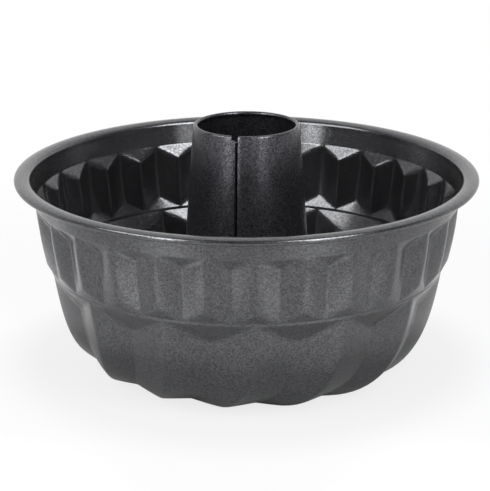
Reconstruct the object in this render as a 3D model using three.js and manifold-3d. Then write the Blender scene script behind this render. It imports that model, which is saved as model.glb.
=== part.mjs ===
// Fluted ring cake pan: a deep-drawn fluted shell with a rolled rim, and a rolled
// conical chimney tube whose foot is hemmed round the shell's centre collar.
// Millimetres, +Z up, origin on the base plane under the tube's axis.
// Angle zero faces -Y and grows towards +X.
import * as THREE from 'three';
import { mergeVertices } from 'three/addons/utils/BufferGeometryUtils.js';
import Module from 'manifold-3d';

// Sheet metal
const SHEET = 0.6;
const SEAM_CLEARANCE = 0.3;

// Rim of the shell
const RIM_RADIUS = 110;
const RIM_HEIGHT = 95;
const RIM_INNER_RADIUS = 104.5;
const RIM_FILLET = 2;
const BEAD_DIAMETER = 2.8;
const BEAD_TUCK_DEG = 165;

// Upper band: pleats between two plain circles
const FLUTE_COUNT = 14;
const FLUTE_PHASE_DEG = 2.37;
const RIDGE_LAND = 2.4;
const PLEAT_TOP_RADIUS = 100.6;
const PLEAT_TOP_DROP = 11.8;
const PLEAT_FOOT_RADIUS = 96.6;
const PLEAT_BOTTOM_RADIUS = 93.6;
const PLEAT_BOTTOM_DROP = 43.5;
const PLEAT_BULGE = 0.6;
const TOP_GUSSET_HEIGHT = 6.2;
const BOTTOM_GUSSET_HEIGHT = 5.2;
const PLEAT_DEPTH = 3.7;

// Lower part: swirled flutes that run under to the base
const BAND_LAND = 1.4;
const LOWER_DRAFT_DEG = 9.5;
const LOWER_WALL_HANDLE = 26;
const LOWER_BASE_HANDLE = 26;
const LOWER_GUSSET_HEIGHT = 12;
const FLUTE_DEPTH = 4.8;
const FLUTE_DEPTH_AT_BASE = 2;
const FLUTE_ROUNDNESS = 1.15;
const SWIRL_AT_BASE_DEG = -20;
const SWIRL_AT_COLLAR_DEG = -30;
const SWIRL_POWER = 3.2;
const BASE_RADIUS = 58;
const BASE_LAND = 6;

// Collar round the centre hole
const COLLAR_CREST_HEIGHT = 9.6;
const COLLAR_EDGE_HEIGHT = 4.6;
const COLLAR_ROLL = 1.5;

// Chimney tube
const TUBE_RISE = 23;
const TUBE_TOP_RADIUS = 25.1;
const TUBE_SLOPE = 0.0735;
const TUBE_BEAD_DIAMETER = 2.1;
const TUBE_BEAD_TUCK_DEG = 250;
const TUBE_COLUMNS = 48;
const SEAM_ANGLE_DEG = -9;
const SEAM_SLIT = 1.6;
const SEAM_LAP = 7;
const NOTCH_WIDTH = 3.4;
const FOOT_HEM_HEIGHT = 2.6;

const SHELL_COLOUR = 0x3a3a3d;
const TUBE_COLOUR = 0x2c2c2f;

const wasm = await Module();
wasm.setup();

const radians = THREE.MathUtils.degToRad;
const TURN = 2 * Math.PI;
const halfSheet = SHEET / 2;

function placed(radius, angle, height) {
  return new THREE.Vector3(radius * Math.sin(angle), -radius * Math.cos(angle), height);
}

// A run of points on an arc in the radius and height plane.
function arc(centreRadius, centreHeight, arcRadius, fromDeg, toDeg, steps) {
  const points = [];
  for (let i = 0; i <= steps; i += 1) {
    const angle = radians(fromDeg + ((toDeg - fromDeg) * i) / steps);
    const radius = centreRadius + arcRadius * Math.cos(angle);
    points.push({ radius, height: centreHeight + arcRadius * Math.sin(angle) });
  }
  return points;
}

function signedVolume(positions, triangles) {
  const corner = triangles.map((index) => positions[index]);
  let sum = 0;
  for (let i = 0; i < corner.length; i += 3) {
    sum += corner[i].dot(new THREE.Vector3().crossVectors(corner[i + 1], corner[i + 2]));
  }
  return sum / 6;
}

function geometryFrom(positions, triangles) {
  const ordered = signedVolume(positions, triangles) > 0 ? triangles : [...triangles].reverse();
  const geometry = new THREE.BufferGeometry();
  geometry.setAttribute('position', new THREE.Float32BufferAttribute(
    positions.flatMap((point) => [point.x, point.y, point.z]),
    3,
  ));
  geometry.setIndex(ordered);
  return geometry;
}

// Normals of a grid of points, row by row, closed round the columns or open.
function gridNormals(grid, closed) {
  const rows = grid.length;
  const columns = grid[0].length;
  const normals = [];
  for (let i = 0; i < rows; i += 1) {
    const line = [];
    for (let j = 0; j < columns; j += 1) {
      const before = closed ? (j + columns - 1) % columns : Math.max(j - 1, 0);
      const after = closed ? (j + 1) % columns : Math.min(j + 1, columns - 1);
      const across = grid[i][after].clone().sub(grid[i][before]);
      const forward = grid[Math.min(i + 1, rows - 1)][j].clone().sub(grid[i][j]).normalize();
      const backward = grid[i][j].clone().sub(grid[Math.max(i - 1, 0)][j]).normalize();
      const along = forward.add(backward);
      line.push(across.cross(along).normalize());
    }
    normals.push(line);
  }
  return normals;
}

// A closed body of sheet thickness on both sides of a grid of points. The diagonal rule says,
// for a row and a column, whether the quad is split from its first corner.
function sheetBody(grid, closed, splitFromFirst) {
  const rows = grid.length;
  const columns = grid[0].length;
  const normals = gridNormals(grid, closed);
  const positions = [];
  for (const side of [halfSheet, -halfSheet]) {
    for (let i = 0; i < rows; i += 1) {
      for (let j = 0; j < columns; j += 1) {
        positions.push(grid[i][j].clone().addScaledVector(normals[i][j], side));
      }
    }
  }
  const at = (side, i, j) => side * rows * columns + i * columns + (j % columns);
  const triangles = [];
  const spans = closed ? columns : columns - 1;
  for (let i = 0; i < rows - 1; i += 1) {
    for (let j = 0; j < spans; j += 1) {
      for (const side of [0, 1]) {
        const a = at(side, i, j);
        const b = at(side, i, j + 1);
        const c = at(side, i + 1, j + 1);
        const d = at(side, i + 1, j);
        const split = splitFromFirst(i, j) ? [a, b, c, a, c, d] : [a, b, d, b, c, d];
        triangles.push(...(side === 0 ? split : split.reverse()));
      }
    }
  }
  const strip = (a, b, c, d) => triangles.push(a, b, c, a, c, d);
  for (let j = 0; j < spans; j += 1) {
    strip(at(1, 0, j), at(1, 0, j + 1), at(0, 0, j + 1), at(0, 0, j));
    const last = rows - 1;
    strip(at(0, last, j), at(0, last, j + 1), at(1, last, j + 1), at(1, last, j));
  }
  if (!closed) {
    const last = columns - 1;
    for (let i = 0; i < rows - 1; i += 1) {
      strip(at(0, i, 0), at(0, i + 1, 0), at(1, i + 1, 0), at(1, i, 0));
      strip(at(1, i, last), at(1, i + 1, last), at(0, i + 1, last), at(0, i, last));
    }
  }
  return geometryFrom(positions, triangles);
}

function solidOf(geometry) {
  const bare = geometry.clone();
  bare.deleteAttribute('normal');
  bare.deleteAttribute('uv');
  const merged = mergeVertices(bare);
  return new wasm.Manifold(new wasm.Mesh({
    numProp: 3,
    vertProperties: new Float32Array(merged.attributes.position.array),
    triVerts: new Uint32Array(merged.index.array),
  }));
}

function geometryOf(solid) {
  const mesh = solid.getMesh();
  const geometry = new THREE.BufferGeometry();
  geometry.setAttribute('position', new THREE.BufferAttribute(mesh.vertProperties, 3));
  geometry.setIndex(new THREE.BufferAttribute(mesh.triVerts, 1));
  return geometry;
}

// Heights and radii that follow from the driving sizes
const tubeTop = RIM_HEIGHT + TUBE_RISE;
const pleatTop = RIM_HEIGHT - PLEAT_TOP_DROP;
const pleatBottom = RIM_HEIGHT - PLEAT_BOTTOM_DROP;
const pleatApex = pleatTop - TOP_GUSSET_HEIGHT;
const pleatFoot = pleatBottom + BOTTOM_GUSSET_HEIGHT;
const tubeRadiusAt = (height) => TUBE_TOP_RADIUS + TUBE_SLOPE * (tubeTop - height);
const collarRadius = tubeRadiusAt(COLLAR_EDGE_HEIGHT) + SEAM_CLEARANCE + halfSheet;

// The pleat ridge bows outwards between the upper plain circle and its foot.
function ridgeRadiusAt(height) {
  const share = (pleatTop - height) / (pleatTop - pleatFoot);
  const straight = PLEAT_TOP_RADIUS + (PLEAT_FOOT_RADIUS - PLEAT_TOP_RADIUS) * share;
  return straight + PLEAT_BULGE * Math.sin(Math.PI * share);
}

// The pleat valley runs straight from its apex to the lower circle.
function valleyRadiusAt(height) {
  const apexRadius = ridgeRadiusAt(pleatApex) - PLEAT_DEPTH;
  const share = (pleatApex - height) / (pleatApex - pleatBottom);
  return apexRadius + (PLEAT_BOTTOM_RADIUS - apexRadius) * share;
}

// Lower ridge line from the pleats' lower circle round to the base land
const lowerDraft = radians(LOWER_DRAFT_DEG);
const lowerRidge = new THREE.CubicBezierCurve(
  new THREE.Vector2(PLEAT_BOTTOM_RADIUS, pleatBottom),
  new THREE.Vector2(
    PLEAT_BOTTOM_RADIUS - LOWER_WALL_HANDLE * Math.sin(lowerDraft),
    pleatBottom - LOWER_WALL_HANDLE * Math.cos(lowerDraft),
  ),
  new THREE.Vector2(BASE_RADIUS + LOWER_BASE_HANDLE, halfSheet),
  new THREE.Vector2(BASE_RADIUS, halfSheet),
);
const lowerLength = lowerRidge.getLength();

// Columns of one flute: the lower ridge's land, a pleat valley, the pleat ridge between
// two lower ridges, and a pleat valley. Reach says how far a column lies from the lower
// ridge, from 0 at the ridge to 1 in the lower valley.
const fluteAngle = TURN / FLUTE_COUNT;
const landAngle = RIDGE_LAND / PLEAT_TOP_RADIUS;
const fluteColumns = [
  { turn: -landAngle / 2, pleatRidge: true, reach: 0 },
  { turn: landAngle / 2, pleatRidge: true, reach: 0 },
  { turn: fluteAngle / 4, pleatRidge: false, reach: 0.5 },
  { turn: fluteAngle / 2, pleatRidge: true, reach: 1 },
  { turn: (fluteAngle * 3) / 4, pleatRidge: false, reach: 0.5 },
];
const shellColumns = [];
for (let flute = 0; flute < FLUTE_COUNT; flute += 1) {
  for (const column of fluteColumns) {
    const angle = radians(FLUTE_PHASE_DEG) + flute * fluteAngle + column.turn;
    shellColumns.push({ ...column, angle });
  }
}

// Rows of the shell's middle surface, from the rolled edge to the collar's edge. A plain row is
// round. A pleat row differs at ridges and valleys, and a lower row dips by its flute depth.
function shellRows() {
  const beadCentre = RIM_RADIUS - BEAD_DIAMETER / 2;
  const beadHeight = RIM_HEIGHT - BEAD_DIAMETER / 2;
  const beadRadius = BEAD_DIAMETER / 2 - halfSheet;
  const filletHeight = RIM_HEIGHT - halfSheet - RIM_FILLET;
  const plain = (point) => ({ ...point, valley: point, depth: 0, swirl: 0, lower: false });
  const rows = arc(beadCentre, beadHeight, beadRadius, -BEAD_TUCK_DEG, 90, 5).map(plain);
  rows.push(...arc(RIM_INNER_RADIUS, filletHeight, RIM_FILLET, 90, 180, 2).map(plain));
  rows.push(plain({ radius: PLEAT_TOP_RADIUS, height: pleatTop }));
  for (const height of [pleatApex, (pleatApex + pleatFoot) / 2, pleatFoot]) {
    const row = plain({ radius: ridgeRadiusAt(height), height });
    row.valley = { radius: valleyRadiusAt(height), height };
    rows.push(row);
  }
  const landShare = BAND_LAND / lowerLength;
  const gussetShare = LOWER_GUSSET_HEIGHT / lowerLength;
  for (const share of [0, landShare, gussetShare, 0.3, 0.45, 0.6, 0.73, 0.86, 1]) {
    const { x: radius, y: height } = lowerRidge.getPointAt(share);
    const row = plain({ radius, height });
    row.lower = true;
    row.swirl = radians(SWIRL_AT_BASE_DEG) * share ** SWIRL_POWER;
    const fade = Math.max(share - gussetShare, 0) / (1 - gussetShare);
    const full = FLUTE_DEPTH + (FLUTE_DEPTH_AT_BASE - FLUTE_DEPTH) * fade;
    const gusset = (share - landShare) / (gussetShare - landShare);
    row.depth = full * THREE.MathUtils.clamp(gusset, 0, 1);
    rows.push(row);
  }
  const landInner = BASE_RADIUS - BASE_LAND;
  const crestRadius = collarRadius + COLLAR_ROLL;
  for (const share of [0, 0.45, 0.8, 1]) {
    const rise = share * share * (3 - 2 * share);
    const row = plain({
      radius: landInner + (crestRadius - landInner) * share,
      height: halfSheet + (COLLAR_CREST_HEIGHT - halfSheet) * rise,
    });
    row.lower = true;
    row.swirl = radians(SWIRL_AT_BASE_DEG + (SWIRL_AT_COLLAR_DEG - SWIRL_AT_BASE_DEG) * share);
    row.depth = FLUTE_DEPTH_AT_BASE * (1 - share);
    rows.push(row);
  }
  const collarSwirl = radians(SWIRL_AT_COLLAR_DEG);
  for (const height of [COLLAR_CREST_HEIGHT - COLLAR_ROLL, COLLAR_EDGE_HEIGHT]) {
    rows.push({ ...plain({ radius: collarRadius, height }), lower: true, swirl: collarSwirl });
  }
  return rows;
}

// Inward direction, towards the batter, at each row of the ridge profile.
function inwardAt(rows, i) {
  const ahead = rows[Math.min(i + 1, rows.length - 1)];
  const behind = rows[Math.max(i - 1, 0)];
  const tangent = new THREE.Vector2(ahead.radius - behind.radius, ahead.height - behind.height);
  tangent.normalize();
  return new THREE.Vector2(tangent.y, -tangent.x);
}

function flutedShell() {
  const rows = shellRows();
  const grid = rows.map((row, i) => shellColumns.map((column) => {
    const point = column.pleatRidge || row.lower ? row : row.valley;
    const dip = row.depth * (1 - (1 - column.reach) ** FLUTE_ROUNDNESS);
    const inward = inwardAt(rows, i);
    return placed(
      point.radius + inward.x * dip,
      column.angle + row.swirl,
      point.height + inward.y * dip,
    );
  }));
  const splitFromFirst = (i, j) => {
    const column = shellColumns[j];
    if (!rows[i].lower) return column.pleatRidge;
    return column.reach < shellColumns[(j + 1) % shellColumns.length].reach;
  };
  return sheetBody(grid, true, splitFromFirst);
}

// Rows of the tube's middle surface, from the hem's outer edge under the collar up to the
// inward bead at the top. The outer face of the cone has the radius that tubeRadiusAt gives.
function tubeRows() {
  const wallAt = (height) => ({ radius: tubeRadiusAt(height) - halfSheet, height });
  const hemGap = halfSheet + SEAM_CLEARANCE;
  const hemInner = tubeRadiusAt(COLLAR_EDGE_HEIGHT) - halfSheet;
  const hemOuter = collarRadius + halfSheet + hemGap;
  const hemRadius = (hemOuter - hemInner) / 2;
  const hemCentre = COLLAR_EDGE_HEIGHT - SEAM_CLEARANCE;
  const rows = [{ radius: hemOuter, height: hemCentre + FOOT_HEM_HEIGHT }];
  rows.push(...arc(hemInner + hemRadius, hemCentre, hemRadius, 0, -180, 5));
  rows.push(wallAt(RIM_HEIGHT));
  const beadRadius = TUBE_BEAD_DIAMETER / 2 - halfSheet;
  const beadHeight = tubeTop - TUBE_BEAD_DIAMETER / 2;
  const beadCentre = tubeRadiusAt(beadHeight) - TUBE_BEAD_DIAMETER / 2;
  rows.push(...arc(beadCentre, beadHeight, beadRadius, 0, TUBE_BEAD_TUCK_DEG, 6));
  return rows;
}

function chimneyTube() {
  const seam = radians(SEAM_ANGLE_DEG);
  const seamRadius = tubeRadiusAt(RIM_HEIGHT);
  const slit = SEAM_SLIT / seamRadius;
  const lap = SEAM_LAP / seamRadius;
  const rows = tubeRows();
  const sweep = TURN - slit;
  const wrapped = rows.map(({ radius, height }) => {
    const line = [];
    for (let j = 0; j <= TUBE_COLUMNS; j += 1) {
      line.push(placed(radius, seam + (sweep * j) / TUBE_COLUMNS, height));
    }
    return line;
  });
  const wrap = solidOf(sheetBody(wrapped, false, () => true));

  // The far edge steps inwards under the near edge, between the hem and the bead.
  const step = SHEET + SEAM_CLEARANCE;
  const lapLow = COLLAR_EDGE_HEIGHT + BEAD_DIAMETER;
  const lapHigh = tubeTop - TUBE_BEAD_DIAMETER - SHEET - SEAM_CLEARANCE;
  const stations = [
    { angle: -2 * slit, inset: 0 },
    { angle: -slit, inset: 0 },
    { angle: -slit / 4, inset: step },
    { angle: lap / 2, inset: step },
    { angle: lap, inset: step },
  ];
  const lapped = [lapLow, lapHigh].map((height) => stations.map(({ angle, inset }) => placed(
    tubeRadiusAt(height) - halfSheet - inset,
    seam + angle,
    height,
  )));
  const tuck = solidOf(sheetBody(lapped, false, () => true));

  // The bead is cut away beside the seam.
  const cut = new THREE.BoxGeometry(NOTCH_WIDTH, 4 * TUBE_BEAD_DIAMETER, 2 * TUBE_BEAD_DIAMETER);
  const middle = seam - NOTCH_WIDTH / 2 / TUBE_TOP_RADIUS;
  cut.rotateZ(middle);
  cut.translate(...placed(TUBE_TOP_RADIUS, middle, tubeTop).toArray());
  return geometryOf(wrap.add(tuck).subtract(solidOf(cut)));
}

function coated(name, geometry, color, roughness) {
  const material = new THREE.MeshStandardMaterial({ color, roughness, metalness: 0.6 });
  const mesh = new THREE.Mesh(geometry, material);
  mesh.name = name;
  return mesh;
}

const pan = new THREE.Group();
pan.add(coated('fluted_shell', flutedShell(), SHELL_COLOUR, 0.42));
pan.add(coated('chimney_tube', chimneyTube(), TUBE_COLOUR, 0.38));

export default pan;
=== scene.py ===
import math
from collections import namedtuple

import bpy
import numpy as np
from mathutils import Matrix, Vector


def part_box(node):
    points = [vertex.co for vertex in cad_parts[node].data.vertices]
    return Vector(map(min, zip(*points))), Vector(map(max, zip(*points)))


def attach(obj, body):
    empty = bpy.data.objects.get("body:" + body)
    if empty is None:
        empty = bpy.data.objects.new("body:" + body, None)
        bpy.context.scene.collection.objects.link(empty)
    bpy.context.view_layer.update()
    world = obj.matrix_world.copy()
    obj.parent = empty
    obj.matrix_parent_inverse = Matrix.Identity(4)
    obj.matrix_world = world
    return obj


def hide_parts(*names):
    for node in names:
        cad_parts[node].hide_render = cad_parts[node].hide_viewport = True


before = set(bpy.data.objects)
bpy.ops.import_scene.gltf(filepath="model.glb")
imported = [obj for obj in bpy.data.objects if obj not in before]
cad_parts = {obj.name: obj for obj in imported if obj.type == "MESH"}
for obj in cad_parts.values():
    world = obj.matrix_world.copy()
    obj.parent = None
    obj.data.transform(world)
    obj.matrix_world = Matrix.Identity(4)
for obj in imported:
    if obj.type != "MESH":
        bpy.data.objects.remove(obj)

bl_info = {
    "name": "Fluted ring cake pan",
    "version": (1, 0, 0),
    "blender": (4, 5, 0),
    "location": "View3D > Sidebar > Cake Pan",
    "description": "Dresses the packed ring cake pan: fluted shell, chimney tube and studio stage",
    "category": "Object",
}

MM = 0.001
TURN = 2.0 * math.pi
TINY = 1e-12
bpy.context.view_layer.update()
SHELL_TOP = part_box("fluted_shell")[1][2]
TUBE_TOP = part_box("chimney_tube")[1][2]

# Rows and columns of the sheets, as shares of the stretch that they divide
COLUMN_SHARES = np.array([0.0, 0.07, 0.14, 0.4, 0.65, 0.86, 0.93])
FLANGE_SHARES = (0.2, 0.4, 0.6, 0.8)
BAND_SHARES = (0.25, 0.5, 0.75, 0.9, 0.98)
LAND_SHARES = np.array([0.0, 0.25, 0.75, 1.0, 1.25])

# Step of the lapped seam, as shares of the slit's width and of its depth
SEAM_STEP = ((0.25, 0.4), (0.6, 0.92), (1.0, 1.0))
LAP_ROWS_IN_HEM = 4

# Lamps, in metres from the middle of the pan's base
SoftBox = namedtuple("SoftBox", "name place width height watts")
SOFT_BOXES = (
    SoftBox("left_strip", place=(-0.60, -0.80, 0.42), width=0.24, height=0.80, watts=3.9),
    SoftBox("right_strip", place=(0.55, -0.84, 0.42), width=0.24, height=0.80, watts=2.4),
    SoftBox("left_box", place=(-0.78, -0.50, 0.79), width=0.65, height=0.70, watts=7.0),
    SoftBox("right_box", place=(0.60, -0.66, 0.85), width=0.50, height=0.75, watts=8.4),
)
Pool = namedtuple("Pool", "name place target watts")
POOLS = (
    Pool("left_pool", place=(-0.31, -0.50, 1.3), target=(-0.110, -0.163, 0.0), watts=440.0),
    Pool("right_pool", place=(0.21, -0.57, 1.3), target=(0.094, -0.163, 0.0), watts=350.0),
    Pool("back_pool", place=(-0.11, 0.58, 1.3), target=(-0.038, 0.193, 0.0), watts=430.0),
    Pool("back_left_pool", place=(-0.57, 0.15, 1.3), target=(-0.190, 0.051, 0.0), watts=290.0),
)
WHITE = (1.0, 1.0, 1.0, 1.0)


def length(name, description, millimetres):
    """A length property whose default is written in millimetres."""
    return bpy.props.FloatProperty(
        name=name, description=description, default=millimetres * MM, unit="LENGTH", precision=5)


def angle(name, description, degrees):
    """An angle property whose default is written in degrees."""
    return bpy.props.FloatProperty(
        name=name, description=description, default=math.radians(degrees), unit="ROTATION",
        subtype="ANGLE")


def number(name, description, default):
    """A plain number property."""
    return bpy.props.FloatProperty(name=name, description=description, default=default)


def colour(name, description, default):
    """A colour property in linear values."""
    return bpy.props.FloatVectorProperty(
        name=name, description=description, default=default, subtype="COLOR", size=3,
        min=0.0, max=1.0)


class CakePanSizes(bpy.types.PropertyGroup):
    """Sizes of the pressed shell and the rolled tube."""

    sheet: length("Sheet", "Thickness of the coated steel sheet", 0.6)
    clearance: length("Seam clearance", "Gap between the folded layers", 0.3)

    rim_radius: length("Rim radius", "Outside of the rolled rim", 110.0)
    rim_inner: length("Rim inner radius", "Inner edge of the flat flange", 104.5)
    rim_fillet: length("Rim fillet", "Round between flange and wall", 2.0)
    bead: length("Bead", "Diameter of the rolled rim", 2.8)
    rim_crown: length("Rim crown", "Rise of the flange between its edges", 0.3)
    bead_tuck: angle("Bead tuck", "How far the rim's edge is rolled under", 165.0)

    flute_count: bpy.props.IntProperty(name="Flutes", description="Lower flutes", default=14)
    flute_phase: angle("Flute phase", "Place of the first lower ridge", 2.37)
    flute_weld: length("Flute weld", "Distance within which the flutes' edges are joined", 0.02)
    ridge_round: number("Ridge round", "Rounding of a ridge, as a share of its flank", 0.05)
    hollow_round: number("Hollow round", "Rounding of a hollow, as a share of its flank", 0.16)
    edge_round: length("Edge round", "Rounding of the triangles' edges", 0.25)

    pleat_top_radius: length("Pleat top radius", "Circle at the tops of the pleats", 100.6)
    pleat_top_drop: length("Pleat top drop", "Rim to the tops of the pleats", 11.8)
    ridge_land: length("Ridge land", "Flat strip on a pleat ridge", 2.4)
    pleat_foot_radius: length("Pleat foot radius", "Foot of a pleat ridge", 96.6)
    pleat_bottom_radius: length("Pleat bottom radius", "Circle below the pleats", 93.6)
    pleat_bottom_drop: length("Pleat bottom drop", "Rim to the circle below the pleats", 43.5)
    pleat_bulge: length("Pleat bulge", "Bow of a pleat ridge", 0.6)
    top_gusset: length("Top gusset", "Height of the upper triangles", 6.2)
    bottom_gusset: length("Bottom gusset", "Height of the triangles under a ridge", 5.2)
    pleat_depth: length("Pleat depth", "Depth of a pleat at its apex", 3.7)
    apex_margin: length("Apex margin", "Stretch of close rows below the apex", 1.5)
    foot_margin: length("Foot margin", "Stretch of close rows above a ridge's foot", 2.5)
    close_rows_end: length("Close rows' end", "Circle below the pleats to the last close row", 0.5)
    last_row: length("Last row", "Circle below the pleats to the pleats' last row", 0.2)

    lower_draft: angle("Lower draft", "Lean of the wall below the pleats", 9.5)
    wall_handle: length("Wall handle", "Reach of the lower curve along the wall", 26.0)
    base_handle: length("Base handle", "Reach of the lower curve along the base", 26.0)
    lower_gusset: length("Lower gusset", "Height of the triangles above a flute", 12.0)
    flute_depth: length("Flute depth", "Depth of a flute under its triangle", 4.8)
    flute_depth_base: length("Flute depth at base", "Depth of a flute at the base", 2.0)
    band_land: length("Band land", "Plain strip between pleats and flutes", 1.4)
    flute_roundness: number("Flute roundness", "Roundness of the flute's hollow", 1.15)
    swirl_base: angle("Swirl at base", "Turn of the flutes at the base", -20.0)
    swirl_collar: angle("Swirl at collar", "Turn of the flutes at the collar", -30.0)
    swirl_power: number("Swirl power", "How late the swirl sets in", 3.2)
    base_radius: length("Base radius", "Outer edge of the base land", 58.0)
    base_land: length("Base land", "Width of the base land", 6.0)

    collar_crest: length("Collar crest", "Height of the collar's crest", 9.6)
    collar_edge: length("Collar edge", "Height of the collar's lower edge", 4.6)
    collar_roll: length("Collar roll", "Width of the collar's turn", 1.5)

    tube_top_radius: length("Tube top radius", "Outside of the tube at its top", 25.1)
    tube_slope: number("Tube slope", "Widening of the tube downwards", 0.0735)
    tube_bead: length("Tube bead", "Diameter of the bead at the top", 2.1)
    tube_tuck: angle("Tube tuck", "How far the tube's bead is rolled in", 250.0)
    cone_start: length("Cone start", "Collar's lower edge to the cone's lowest row", 2.8)
    seam_angle: angle("Seam angle", "Place of the lapped edge", -9.0)
    seam_slit: length("Seam slit", "Width of the groove at the seam", 1.6)
    seam_groove: length("Seam groove", "Extra depth of the groove at the seam", 1.0)
    groove_run: length("Groove run", "Height over which the groove runs out at the foot", 15.0)
    seam_lap: length("Seam lap", "Width of the hidden lap", 7.0)
    flap: length("Flap", "Strip along the lapped edge that is turned in", 1.1)
    flap_end: length("Flap end", "Lapped edge to the first even column", 1.76)
    flap_turn: length("Flap turn", "How far the lapped edge is turned in", 0.24)
    notch: length("Notch", "Width cut from the bead beside the seam", 3.4)
    hem: length("Foot hem", "Height of the hem under the base", 2.6)
    tube_crease: angle("Tube crease", "Folds sharper than this keep a hard edge", 50.0)


class CakePanLooks(bpy.types.PropertyGroup):
    """Colours and finishes of the coating."""

    shell_coating: colour("Shell coating", "Dark metallic coating", (0.106, 0.107, 0.112))
    # The tube's tint is darker than the shell's: partly the tube's own coating, partly painted
    # shade of the dark pan that the tube mirrors
    tube_coating: colour("Tube coating", "Coating of the tube", (0.088, 0.087, 0.097))
    shell_roughness: number("Shell roughness", "Mean roughness of the shell", 0.19)
    tube_roughness: number("Tube roughness", "Mean roughness of the tube", 0.29)
    shell_flake: number("Shell flake", "Strength of the shell's metallic flake", 0.7)
    tube_flake: number("Tube flake", "Strength of the tube's metallic flake", 1.2)
    metal: number("Metal", "How metallic the coating is", 0.9)

    flake_scale: number("Flake scale", "Flakes to the metre", 1900.0)
    grain_scale: number("Grain scale", "Grains to the metre", 1500.0)
    mark_scale: number("Mark scale", "Handling marks to the metre", 38.0)
    mark_shade: number("Mark shade", "How far the marks change the tint", 0.08)
    mark_gloss: number("Mark gloss", "How far the marks change the roughness", 0.08)
    grain_gloss: number("Grain gloss", "How far the grain changes the roughness", 0.16)
    grain_relief: number("Grain relief", "Height of the grain beside the flake's", 0.3)
    relief: number("Relief", "Strength of the coating's relief", 0.3)
    relief_depth: length("Relief depth", "Depth of the coating's relief", 0.06)


class CakePanStage(bpy.types.PropertyGroup):
    """Floor, surround, lamps and camera of the studio."""

    floor: colour("Floor", "Pale studio floor", (0.48, 0.48, 0.48))
    floor_reach: length("Floor reach", "Middle of the floor to its edge", 6000.0)
    beside_start: length("Beside start", "Where the floor starts to turn white", 94.0)
    beside_end: length("Beside end", "Where the first turn to white ends", 131.0)
    beside_white: number("Beside white", "Share of white after the first turn", 0.7)
    beyond_start: length("Beyond start", "Where the second turn to white starts", 220.0)
    beyond_end: length("Beyond end", "Where the second turn to white ends", 380.0)
    beyond_white: number("Beyond white", "Share of white added by the second turn", 0.28)
    camera_white: number("Camera white", "White that the camera alone sees in the rest", 0.8)

    sky_front: number("Sky front", "Strength of the surround in front", 0.12)
    sky_back: number("Sky back", "Strength of the surround behind", 1.0)
    sky_dark_end: number("Sky dark end", "Direction, front to back, where the dark ends", -0.2)
    sky_light_start: number("Sky light start", "Direction where the full light starts", 0.6)

    box_aim: length("Box aim", "Height on the pan's axis that the soft boxes face", 100.0)
    pool_spread: angle("Pool spread", "Opening of a pool's lamp", 4.8)
    pool_source: length("Pool source", "Radius of a pool's lamp", 30.0)

    image_width: number("Image width", "Width of the photograph in pixels", 490.0)
    focal_pixels: number("Focal pixels", "Focal length in the photograph's pixels", 1983.0)
    sensor_width: number("Sensor width", "Width of the camera's sensor in millimetres", 36.0)
    view_radii: number("View radii", "Rim's centre to the camera, in rim radii", 8.59)
    view_rise: angle("View rise", "Height of the view above the rim", 15.66)
    view_dip: angle("View dip", "How far the camera looks below the rim's centre", 2.08)
    view_sway: angle("View sway", "How far the camera turns to the left", 0.046)


class Wire:
    """A shader socket with arithmetic, so that sums add Math nodes."""

    def __init__(self, tree, socket):
        self.tree = tree
        self.socket = socket

    def _maths(self, operation, first, second):
        node = self.tree.nodes.new("ShaderNodeMath")
        node.operation = operation
        for slot, value in zip(node.inputs, (first, second)):
            if isinstance(value, Wire):
                self.tree.links.new(value.socket, slot)
            else:
                slot.default_value = value
        return Wire(self.tree, node.outputs[0])

    def __add__(self, other):
        return self._maths("ADD", self, other)

    __radd__ = __add__

    def __sub__(self, other):
        return self._maths("SUBTRACT", self, other)

    def __rsub__(self, other):
        return self._maths("SUBTRACT", other, self)

    def __mul__(self, other):
        return self._maths("MULTIPLY", self, other)

    def __or__(self, other):
        return self._maths("MAXIMUM", self, other)

    def centred(self):
        """A noise value moved so that its mean is zero."""
        return self - 0.5


class Bench:
    """Makes the nodes of one material or world."""

    def __init__(self, owner):
        owner.use_nodes = True
        self.tree = owner.node_tree
        self.tree.nodes.clear()

    def node(self, kind, output=0, settings=None, **sockets):
        """Add a node, set it up, fill its sockets and return one output.

        A socket is given by its name, with underscores for spaces, or as i and its index.
        """
        node = self.tree.nodes.new(kind)
        for key, value in (settings or {}).items():
            setattr(node, key, value)
        for key, value in sockets.items():
            slot = node.inputs[int(key[1:]) if key[1:].isdigit() else key.replace("_", " ")]
            if isinstance(value, Wire):
                self.tree.links.new(value.socket, slot)
            else:
                slot.default_value = value
        return Wire(self.tree, node.outputs[output]) if node.outputs else None

    def ramp(self, value, start, stop, top=1.0):
        """A smooth rise from zero to the top while the value goes from start to stop."""
        return self.node(
            "ShaderNodeMapRange", settings={"interpolation_type": "SMOOTHSTEP"},
            Value=value, From_Min=start, From_Max=stop, To_Max=top)


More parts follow.
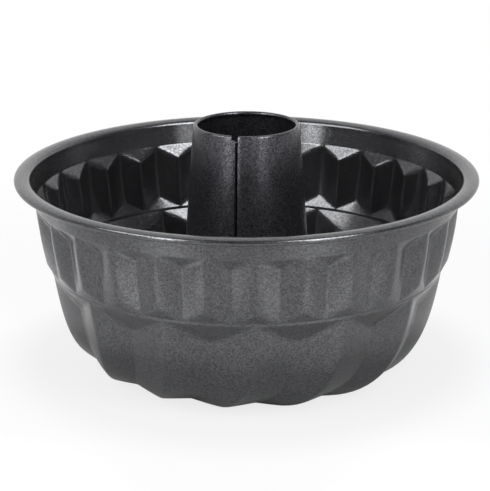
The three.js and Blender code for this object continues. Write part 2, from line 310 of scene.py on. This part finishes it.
def coating_material(name, looks, tint, flake, roughness):
    """Satin non-stick coating with fine metallic flake and faint handling marks."""
    material = bpy.data.materials.new(name)
    bench = Bench(material)
    place = bench.node("ShaderNodeTexCoord", output="Object")
    flakes = bench.node(
        "ShaderNodeTexVoronoi", output="Color", Vector=place, Scale=looks.flake_scale,
        Randomness=1.0)
    glint = bench.node("ShaderNodeSeparateColor", Color=flakes)
    grain = bench.node("ShaderNodeTexNoise", Vector=place, Scale=looks.grain_scale, Detail=2.0)
    marks = bench.node("ShaderNodeTexNoise", Vector=place, Scale=looks.mark_scale, Detail=3.0)
    shade = 1.0 + glint.centred() * flake + marks.centred() * looks.mark_shade
    base = bench.node(
        "ShaderNodeVectorMath", settings={"operation": "SCALE"}, i0=tuple(tint), Scale=shade)
    gloss = roughness + grain.centred() * looks.grain_gloss + marks.centred() * looks.mark_gloss
    relief = bench.node(
        "ShaderNodeBump", Strength=looks.relief, Distance=looks.relief_depth,
        Height=glint * flake + grain * looks.grain_relief)
    coat = bench.node(
        "ShaderNodeBsdfPrincipled", Base_Color=base, Roughness=gloss, Normal=relief,
        Metallic=looks.metal)
    bench.node("ShaderNodeOutputMaterial", Surface=coat)
    return material


def smooth_least(first, second, width):
    """The lesser of two arrays, rounded where they cross."""
    share = np.clip(0.5 + 0.5 * (second - first) / width, 0.0, 1.0)
    return second + (first - second) * share - width * share * (1.0 - share)


def soft(value, width):
    """A distance from zero with a rounded tip."""
    return np.sqrt(value * value + width * width)


def between(start, stop, share):
    """The value at a share of the way from start to stop."""
    return start + (stop - start) * share


def arc(centre_radius, centre_height, radius, start, stop, steps):
    """Points of an arc in the radius and height plane."""
    turn = np.linspace(start, stop, steps + 1)
    return np.stack(
        [centre_radius + radius * np.cos(turn), centre_height + radius * np.sin(turn)], axis=1)


def placed(radius, turn, height):
    """Points at a radius, an angle from the front and a height."""
    return np.stack([radius * np.sin(turn), -radius * np.cos(turn), height + 0.0 * turn], axis=-1)


def circles(points, turns):
    """One row of points for each radius and height."""
    return [placed(radius + 0.0 * turns, turns, height) for radius, height in points]


def spun(points, turn):
    """Points turned round the pan's axis, counted from the front towards the right."""
    turned = points.copy()
    turned[..., 0] = points[..., 0] * math.cos(turn) - points[..., 1] * math.sin(turn)
    turned[..., 1] = points[..., 0] * math.sin(turn) + points[..., 1] * math.cos(turn)
    return turned


def every_cell(grid):
    """A mask that keeps every quad of a grid."""
    return np.ones((grid.shape[0] - 1, grid.shape[1] - 1), dtype=bool)


def unit(vectors):
    """Vectors of length one."""
    return vectors / np.maximum(np.linalg.norm(vectors, axis=2, keepdims=True), TINY)


def sheet_normals(grid, repeats):
    """Normals of a grid's points, matched at its two sides where turned copies join it."""
    step = unit(np.diff(grid, axis=0))
    along = np.zeros_like(grid)
    along[:-1] += step
    along[1:] += step
    across = np.zeros_like(grid)
    across[:, 1:-1] = grid[:, 2:] - grid[:, :-2]
    across[:, 0] = grid[:, 1] - grid[:, 0]
    across[:, -1] = grid[:, -1] - grid[:, -2]
    normals = np.cross(across, along)
    if repeats:
        turn = TURN / repeats
        normals[:, 0] = np.cross(grid[:, 1] - spun(grid[:, -2], -turn), along[:, 0])
        normals[:, -1] = spun(normals[:, 0], turn)
    return unit(normals)


def sheet_mesh(name, grid, thickness, cells, repeats=0):
    """A sheet on both sides of a grid of points, with its free edges closed.

    cells marks the quads that exist. With repeats, the grid's two sides are left open for as
    many turned copies.
    """
    rows, columns = grid.shape[:2]
    offset = sheet_normals(grid, repeats) * thickness / 2
    points = np.concatenate([(grid + offset).reshape(-1, 3), (grid - offset).reshape(-1, 3)])
    under = rows * columns
    faces = []
    for i, j in np.argwhere(cells):
        corner = i * columns + j
        ring = [corner, corner + 1, corner + columns + 1, corner + columns]
        faces.append(ring)
        faces.append([under + index for index in reversed(ring)])
        sides = ((i - 1, j, 0, 1), (i + 1, j, 2, 3), (i, j + 1, 1, 2), (i, j - 1, 3, 0))
        for row, column, start, stop in sides:
            within = 0 <= column < columns - 1
            joined = repeats and not within
            covered = within and 0 <= row < rows - 1 and cells[row, column]
            if not joined and not covered:
                first, last = ring[start], ring[stop]
                faces.append([last, first, under + first, under + last])
    faces = np.array(faces)
    used = np.unique(faces)
    renumber = np.full(len(points), -1)
    renumber[used] = np.arange(len(used))
    mesh = bpy.data.meshes.new(name)
    mesh.from_pydata(points[used].tolist(), [], renumber[faces].tolist())
    mesh.update()
    return mesh


def tube_radius(sizes, height):
    """Outside radius of the tube's cone at a height."""
    return sizes.tube_top_radius + sizes.tube_slope * (TUBE_TOP - height)


def collar_radius(sizes):
    """Middle of the sheet where the collar lies along the tube."""
    return tube_radius(sizes, sizes.collar_edge) + sizes.clearance + sizes.sheet / 2


def flute_columns(sizes):
    """Angles across one flute, closer together at the ridges and hollows."""
    quarter = TURN / sizes.flute_count / 4
    turns = [(index + share) * quarter for index in range(4) for share in COLUMN_SHARES]
    return np.array([*turns, 4 * quarter])


def pleat_wave(sizes, turns):
    """How far the columns lie down a pleat's flank: 0 on the ridge, 1 in the hollow."""
    pleat = TURN / sizes.flute_count / 2
    reach = 1.0 - np.abs((turns / pleat) % 1.0 * 2.0 - 1.0)
    land = sizes.ridge_land / (sizes.pleat_top_radius * pleat)
    reach = (reach - land) / (1.0 - land)
    wave = (soft(reach, 2.0 * sizes.ridge_round) + reach) / 2
    return smooth_least(wave, np.ones_like(turns), sizes.hollow_round)


def flute_wave(sizes, turns):
    """How far the columns lie down a lower flute's flank: 0 on the ridge, 1 in the hollow."""
    flank = TURN / sizes.flute_count / 2
    reach = 1.0 - np.abs(turns / flank - 1.0)
    tip = soft(0.0, sizes.ridge_round)
    wave = (soft(reach, sizes.ridge_round) - tip) / (soft(1.0, sizes.ridge_round) - tip)
    return 1.0 - (1.0 - wave) ** sizes.flute_roundness


def rim_rows(sizes, turns):
    """The rolled rim, the flange, its fillet and the plain band."""
    flange_in = sizes.rim_inner
    flange_out = sizes.rim_radius - sizes.bead / 2
    tilt = math.atan(4.0 * sizes.rim_crown / (flange_out - flange_in))
    edge = SHELL_TOP - sizes.sheet / 2 - sizes.rim_crown
    roll = (sizes.bead - sizes.sheet) / 2
    points = [*arc(flange_out, edge - roll, roll, -sizes.bead_tuck, math.pi / 2 - tilt, steps=14)]
    for share in FLANGE_SHARES:
        crown = sizes.rim_crown * 4.0 * share * (1.0 - share)
        points.append((between(flange_out, flange_in, share), edge + crown))
    fillet = edge - sizes.rim_fillet
    points.extend(
        arc(flange_in, fillet, sizes.rim_fillet, math.pi / 2 + tilt, math.pi, steps=7))
    wall_top = sizes.rim_inner - sizes.rim_fillet
    pleat_top = SHELL_TOP - sizes.pleat_top_drop
    for share in BAND_SHARES:
        points.append((between(wall_top, sizes.pleat_top_radius, share),
                       between(fillet, pleat_top, share)))
    return circles(points, turns)


def pleat_rows(sizes, turns):
    """The pleated band: ridges between two plain circles, with triangles above and below."""
    wave = pleat_wave(sizes, turns)
    top = SHELL_TOP - sizes.pleat_top_drop
    bottom = SHELL_TOP - sizes.pleat_bottom_drop
    apex = top - sizes.top_gusset
    foot = bottom + sizes.bottom_gusset

    def ridge(height):
        share = (top - height) / (top - foot)
        bow = sizes.pleat_bulge * max(math.sin(math.pi * share), 0.0)
        return between(sizes.pleat_top_radius, sizes.pleat_foot_radius, share) + bow

    def valley(height):
        share = (apex - height) / (apex - bottom)
        return between(ridge(apex) - sizes.pleat_depth, sizes.pleat_bottom_radius, share)

    def under_ridge(height):
        share = (height - bottom) / sizes.bottom_gusset
        return between(sizes.pleat_bottom_radius, ridge(foot), share)

    below_apex = apex - sizes.apex_margin
    above_foot = foot + sizes.foot_margin
    heights = np.concatenate([
        np.linspace(top, below_apex, num=12, endpoint=False),
        np.linspace(below_apex, above_foot, num=7, endpoint=False),
        np.linspace(above_foot, bottom + sizes.close_rows_end, num=12),
        [bottom + sizes.last_row]])
    rows = []
    for height in heights:
        fold = (ridge(height) - valley(min(height, apex))) * wave
        upper = (top - height) / sizes.top_gusset * sizes.pleat_depth
        under = ridge(height) - under_ridge(height)
        dip = smooth_least(fold, upper, sizes.edge_round)
        dip = -smooth_least(-dip, -under, sizes.edge_round)
        rows.append(placed(ridge(height) - dip, turns, height))
    return rows


def lower_curve(sizes):
    """Points of the curve below the pleats, their shares of its length, and its length."""
    lean = sizes.lower_draft
    start = np.array([sizes.pleat_bottom_radius, SHELL_TOP - sizes.pleat_bottom_drop])
    down_wall = start - sizes.wall_handle * np.array([math.sin(lean), math.cos(lean)])
    end = np.array([sizes.base_radius, sizes.sheet / 2])
    out_base = end + np.array([sizes.base_handle, 0.0])
    after = np.linspace(0.0, 1.0, num=401)[:, None]
    before = 1.0 - after
    points = (before ** 3 * start + 3.0 * before ** 2 * after * down_wall
              + 3.0 * before * after ** 2 * out_base + after ** 3 * end)
    steps = np.linalg.norm(np.diff(points, axis=0), axis=1)
    run = np.concatenate([[0.0], np.cumsum(steps)])
    return points, run / run[-1], run[-1]


def flute_rows(sizes, turns):
    """The swirled flutes, from the plain strip under the pleats to the base."""
    wave = flute_wave(sizes, turns)
    curve, shares, run = lower_curve(sizes)
    land = sizes.band_land / run
    gusset = sizes.lower_gusset / run
    probe = 0.01

    def on_curve(share):
        return np.array([np.interp(share, shares, curve[:, axis]) for axis in (0, 1)])

    below_land = 2.0 * land
    below_gusset = 1.3 * gusset
    row_shares = np.concatenate([
        land * LAND_SHARES,
        np.linspace(below_land, below_gusset, num=10, endpoint=False),
        np.linspace(below_gusset, 1.0, num=20)])
    rows = []
    for share in row_shares:
        tangent = on_curve(min(share + probe, 1.0)) - on_curve(max(share - probe, 0.0))
        tangent = tangent / np.linalg.norm(tangent)
        fade = max(share - gusset, 0.0) / (1.0 - gusset)
        full = between(sizes.flute_depth, sizes.flute_depth_base, fade)
        upper = full * max(share - land, 0.0) / (gusset - land)
        dip = np.maximum(smooth_least(full * wave, upper, sizes.edge_round), 0.0)
        swirl = sizes.swirl_base * share ** sizes.swirl_power
        radius, height = on_curve(share)
        rows.append(placed(radius + tangent[1] * dip, turns + swirl, height - tangent[0] * dip))
    return rows


def base_rows(sizes, turns):
    """The base's rise to the collar, and the collar turned down along the tube."""
    wave = flute_wave(sizes, turns)
    half = sizes.sheet / 2
    inner = sizes.base_radius - sizes.base_land
    crest = collar_radius(sizes) + sizes.collar_roll
    rows = []
    for share in np.linspace(0.0, 1.0, num=13):
        rise = share * share * (3.0 - 2.0 * share)
        dip = sizes.flute_depth_base * (1.0 - share) * wave
        swirl = between(sizes.swirl_base, sizes.swirl_collar, share)
        radius = between(inner, crest, share) + 0.0 * turns
        rows.append(placed(radius, turns + swirl, between(half, sizes.collar_crest, rise) + dip))
    roll = arc(crest, sizes.collar_crest - sizes.collar_roll, sizes.collar_roll,
               math.pi / 2, math.pi, steps=5)
    collar = [*roll[1:], (collar_radius(sizes), sizes.collar_edge)]
    return rows + circles(collar, turns + sizes.swirl_collar)


def shell_grid(sizes):
    """Middle surface of one flute of the shell, from the rolled rim to the collar."""
    turns = flute_columns(sizes)
    sections = (rim_rows, pleat_rows, flute_rows, base_rows)
    rows = [row for section in sections for row in section(sizes, turns)]
    return spun(np.stack(rows), sizes.flute_phase)


def tube_profile(sizes):
    """Radius and height along the tube's sheet: foot hem, cone and top bead."""
    half = sizes.sheet / 2
    inner = tube_radius(sizes, sizes.collar_edge) - half
    outer = collar_radius(sizes) + sizes.sheet + sizes.clearance
    fold = (outer - inner) / 2
    foot = sizes.collar_edge - sizes.clearance
    hem = [(outer, foot + sizes.hem), *arc(inner + fold, foot, fold, 0.0, -math.pi, steps=12)]
    cone_low = sizes.collar_edge + sizes.cone_start
    cone_high = TUBE_TOP - sizes.tube_bead
    lap_high = cone_high - sizes.sheet - sizes.clearance
    heights = [*np.linspace(cone_low, lap_high, num=20), cone_high]
    cone = [(tube_radius(sizes, height) - half, height) for height in heights]
    bead_height = TUBE_TOP - sizes.tube_bead / 2
    bead_centre = tube_radius(sizes, bead_height) - sizes.tube_bead / 2
    bead = arc(
        bead_centre, bead_height, sizes.tube_bead / 2 - half, 0.0, sizes.tube_tuck, steps=14)
    return hem, cone, bead


def tube_grid(sizes):
    """Middle surface of the rolled tube with its lap, and the cells of it that are sheet."""
    hem, cone, bead = tube_profile(sizes)
    profile = np.array([*hem, *cone, *bead])
    radius, height = profile[:, :1], profile[:, 1:]
    seam_radius = tube_radius(sizes, SHELL_TOP)
    slit, notch, lap, flap, flap_end = (
        size / seam_radius
        for size in (sizes.seam_slit, sizes.notch, sizes.seam_lap, sizes.flap, sizes.flap_end))
    edge = TURN - slit
    around = [0.0, flap, *np.linspace(flap_end, TURN - notch, num=120),
              TURN - (notch + slit) / 2, edge]
    step = [edge + across * slit for across, down in SEAM_STEP]
    turns = np.array([*around, *step, TURN + lap / 2, TURN + lap])
    tuck = np.array([*(0.0 for turn in around), *(down for across, down in SEAM_STEP), 1.0, 1.0])
    groove = np.clip((height - cone[0][1]) / sizes.groove_run, 0.0, 1.0) * sizes.seam_groove
    inset = tuck * (sizes.sheet + sizes.clearance + groove)
    inset[:, 0] = sizes.flap_turn
    grid = placed(radius - inset, turns[None, :] + sizes.seam_angle, height)

    cells = every_cell(grid)
    lap_start = len(around) - 1
    notch_start = len(around) - 3
    cone_end = len(hem) + len(cone) - 1
    cells[:len(hem) - LAP_ROWS_IN_HEM, lap_start:] = False
    cells[cone_end - 1:, lap_start:] = False
    cells[cone_end:, notch_start:] = False
    return grid, cells


def ring_of_flutes(name):
    """Geometry Nodes tree that repeats one flute round the axis and joins the copies."""
    tree = bpy.data.node_groups.new(name, "GeometryNodeTree")
    face = tree.interface
    face.new_socket("Geometry", in_out="INPUT", socket_type="NodeSocketGeometry")
    count = face.new_socket("Flutes", in_out="INPUT", socket_type="NodeSocketInt")
    weld = face.new_socket("Weld distance", in_out="INPUT", socket_type="NodeSocketFloat")
    finish = face.new_socket("Finish", in_out="INPUT", socket_type="NodeSocketMaterial")
    face.new_socket("Geometry", in_out="OUTPUT", socket_type="NodeSocketGeometry")

    def add(kind, *sources, **settings):
        """Add a node, set it up and feed its sockets, each a name or index with its source."""
        node = tree.nodes.new(kind)
        for key, value in settings.items():
            setattr(node, key, value)
        for socket, source in sources:
            tree.links.new(source, node.inputs[socket])
        return node.outputs[0] if node.outputs else None

    given = tree.nodes.new("NodeGroupInput").outputs
    points = add("GeometryNodePoints", ("Count", given["Flutes"]))
    whole = tree.nodes.new("ShaderNodeValue").outputs[0]
    whole.default_value = TURN
    step = add("ShaderNodeMath", (0, whole), (1, given["Flutes"]), operation="DIVIDE")
    index = add("GeometryNodeInputIndex")
    turn = add("ShaderNodeMath", (0, index), (1, step), operation="MULTIPLY")
    about = add("ShaderNodeCombineXYZ", ("Z", turn))
    rotation = add("FunctionNodeEulerToRotation", (0, about))
    copies = add(
        "GeometryNodeInstanceOnPoints", ("Points", points), ("Instance", given["Geometry"]),
        ("Rotation", rotation))
    solid = add("GeometryNodeRealizeInstances", ("Geometry", copies))
    joined = add(
        "GeometryNodeMergeByDistance", ("Geometry", solid), ("Distance", given["Weld distance"]))
    smooth = add("GeometryNodeSetShadeSmooth", ("Geometry", joined))
    coated = add(
        "GeometryNodeSetMaterial", ("Geometry", smooth), ("Material", given["Finish"]))
    add("NodeGroupOutput", ("Geometry", coated))
    return tree, count.identifier, weld.identifier, finish.identifier


def finished(name, mesh, node):
    """Put a mesh in the scene, in place of a node, riding on the pan."""
    piece = bpy.data.objects.new(name, mesh)
    bpy.context.scene.collection.objects.link(piece)
    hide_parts(node)
    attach(piece, "root")


class CAKEPAN_OT_shell(bpy.types.Operator):
    """Make the fluted shell by repeating one flute round the axis"""

    bl_idname = "cakepan.fluted_shell"
    bl_label = "Fluted shell"

    def execute(self, context):
        sizes = context.scene.cake_pan_sizes
        looks = context.scene.cake_pan_looks
        grid = shell_grid(sizes)
        mesh = sheet_mesh("one_flute", grid, sizes.sheet, every_cell(grid), sizes.flute_count)
        flute = bpy.data.objects.new("one_flute", mesh)
        context.scene.collection.objects.link(flute)
        tree, count, weld, finish = ring_of_flutes("ring_of_flutes")
        modifier = flute.modifiers.new("Ring of flutes", "NODES")
        modifier.node_group = tree
        modifier[count] = sizes.flute_count
        modifier[weld] = sizes.flute_weld
        modifier[finish] = coating_material(
            "shell_nonstick", looks, looks.shell_coating, looks.shell_flake, looks.shell_roughness)
        graph = context.evaluated_depsgraph_get()
        shell = bpy.data.meshes.new_from_object(flute.evaluated_get(graph))
        shell.name = "pressed_shell"
        bpy.data.objects.remove(flute)
        finished("pressed_shell", shell, "fluted_shell")
        return {"FINISHED"}


class CAKEPAN_OT_tube(bpy.types.Operator):
    """Roll the chimney tube with its lapped seam, top bead and foot hem"""

    bl_idname = "cakepan.chimney_tube"
    bl_label = "Chimney tube"

    def execute(self, context):
        sizes = context.scene.cake_pan_sizes
        looks = context.scene.cake_pan_looks
        grid, cells = tube_grid(sizes)
        mesh = sheet_mesh("rolled_tube", grid, sizes.sheet, cells)
        mesh.shade_smooth()
        mesh.set_sharp_from_angle(angle=sizes.tube_crease)
        # The tube's darker tint holds painted shade of the dark pan that the tube mirrors, beside
        # its own coating colour
        mesh.materials.append(coating_material(
            "tube_nonstick", looks, looks.tube_coating, looks.tube_flake, looks.tube_roughness))
        finished("rolled_tube", mesh, "chimney_tube")
        return {"FINISHED"}


class CAKEPAN_OT_stage(bpy.types.Operator):
    """Set the floor, the studio light and the camera"""

    bl_idname = "cakepan.stage"
    bl_label = "Studio stage"

    def execute(self, context):
        scene = context.scene
        stage = scene.cake_pan_stage
        self.floor(scene, stage)
        self.sky(scene, stage)
        self.lamps(scene, stage)
        self.camera(scene, stage, scene.cake_pan_sizes)
        scene.view_settings.view_transform = "Standard"
        return {"FINISHED"}

    def floor(self, scene, stage):
        """A wide pale floor that keeps a soft shadow of the pan and turns white with distance."""
        reach = stage.floor_reach
        mesh = bpy.data.meshes.new("studio_floor")
        mesh.from_pydata(
            [(-reach, -reach, 0), (reach, -reach, 0), (reach, reach, 0), (-reach, reach, 0)],
            [], [(0, 1, 2, 3)])
        floor = bpy.data.objects.new("studio_floor", mesh)
        scene.collection.objects.link(floor)
        material = bpy.data.materials.new("pale_floor")
        bench = Bench(material)
        camera = bench.node("ShaderNodeLightPath", output="Is Camera Ray")
        glossy = bench.node("ShaderNodeLightPath", output="Is Glossy Ray")
        clear = bench.node("ShaderNodeLightPath", output="Is Transmission Ray")
        matt = bench.node("ShaderNodeBsdfDiffuse", Color=(*stage.floor, 1.0))
        white = bench.node("ShaderNodeEmission", Color=WHITE, Strength=1.0)
        place = bench.node("ShaderNodeTexCoord", output="Object")
        away = bench.node(
            "ShaderNodeVectorMath", output="Value", settings={"operation": "LENGTH"}, i0=place)
        beside = bench.ramp(away, stage.beside_start, stage.beside_end, stage.beside_white)
        beyond = bench.ramp(away, stage.beyond_start, stage.beyond_end, stage.beyond_white)
        share = beside + beyond
        seen = (camera | glossy | clear) * share + camera * (1.0 - share) * stage.camera_white
        surface = bench.node("ShaderNodeMixShader", Fac=seen, i1=matt, i2=white)
        bench.node("ShaderNodeOutputMaterial", Surface=surface)
        mesh.materials.append(material)

    def sky(self, scene, stage):
        """A white surround behind the pan that darkens towards the front."""
        world = bpy.data.worlds.new("studio")
        scene.world = world
        bench = Bench(world)
        look = bench.node("ShaderNodeTexCoord", output="Generated")
        ahead = bench.node("ShaderNodeSeparateXYZ", output="Y", Vector=look)
        share = bench.ramp(ahead, stage.sky_dark_end, stage.sky_light_start)
        dim = bench.node("ShaderNodeBackground", Color=WHITE, Strength=stage.sky_front)
        white = bench.node("ShaderNodeBackground", Color=WHITE, Strength=stage.sky_back)
        both = bench.node("ShaderNodeMixShader", Fac=share, i1=dim, i2=white)
        bench.node("ShaderNodeOutputWorld", Surface=both)

    def lamps(self, scene, stage):
        """Tall strips and high soft boxes at both sides, and soft pools of light on the floor."""
        for box in SOFT_BOXES:
            light = bpy.data.lights.new(box.name, "AREA")
            light.shape = "RECTANGLE"
            light.size = box.width
            light.size_y = box.height
            light.energy = box.watts
            self.aimed(scene, light, box.place, (0.0, 0.0, stage.box_aim))
        for pool in POOLS:
            light = bpy.data.lights.new(pool.name, "SPOT")
            light.spot_size = stage.pool_spread
            light.spot_blend = 1.0
            light.shadow_soft_size = stage.pool_source
            light.energy = pool.watts
            self.aimed(scene, light, pool.place, pool.target)

    def aimed(self, scene, light, place, target):
        """Put a lamp in its place, turned towards a target."""
        lamp = bpy.data.objects.new(light.name, light)
        lamp.location = place
        aim = np.array(target) - np.array(place)
        flat = math.hypot(aim[0], aim[1])
        lamp.rotation_euler = (math.atan2(flat, -aim[2]), 0.0, math.atan2(-aim[0], aim[1]))
        scene.collection.objects.link(lamp)

    def camera(self, scene, stage, sizes):
        """The photograph's view: from the front, a little above the rim."""
        data = bpy.data.cameras.new("photo_camera")
        data.sensor_width = stage.sensor_width
        data.lens = stage.sensor_width * stage.focal_pixels / stage.image_width
        camera = bpy.data.objects.new("photo_camera", data)
        distance = stage.view_radii * sizes.rim_radius
        rim = SHELL_TOP - sizes.bead / 2
        camera.location = (
            0.0, -distance * math.cos(stage.view_rise), rim + distance * math.sin(stage.view_rise))
        camera.rotation_euler = (
            math.pi / 2 - stage.view_rise - stage.view_dip, 0.0, stage.view_sway)
        scene.collection.objects.link(camera)
        scene.camera = camera


class CAKEPAN_PT_panel(bpy.types.Panel):
    """Buttons for the pan's pieces and its stage"""

    bl_idname = "CAKEPAN_PT_panel"
    bl_label = "Cake Pan"
    bl_space_type = "VIEW_3D"
    bl_region_type = "UI"
    bl_category = "Cake Pan"

    def draw(self, context):
        for operator in OPERATORS:
            self.layout.operator(operator.bl_idname)
        for pointer, group in GROUPS.items():
            for key in group.__annotations__:
                self.layout.prop(getattr(context.scene, pointer), key)


GROUPS = {
    "cake_pan_sizes": CakePanSizes,
    "cake_pan_looks": CakePanLooks,
    "cake_pan_stage": CakePanStage,
}
OPERATORS = (CAKEPAN_OT_stage, CAKEPAN_OT_shell, CAKEPAN_OT_tube)
CLASSES = (*GROUPS.values(), *OPERATORS, CAKEPAN_PT_panel)


def register():
    for item in CLASSES:
        bpy.utils.register_class(item)
    for pointer, group in GROUPS.items():
        setattr(bpy.types.Scene, pointer, bpy.props.PointerProperty(type=group))


def unregister():
    for pointer in GROUPS:
        delattr(bpy.types.Scene, pointer)
    for item in reversed(CLASSES):
        bpy.utils.unregister_class(item)


def main():
    register()
    bpy.ops.cakepan.stage()
    bpy.ops.cakepan.fluted_shell()
    bpy.ops.cakepan.chimney_tube()


if __name__ == "__main__":
    main()
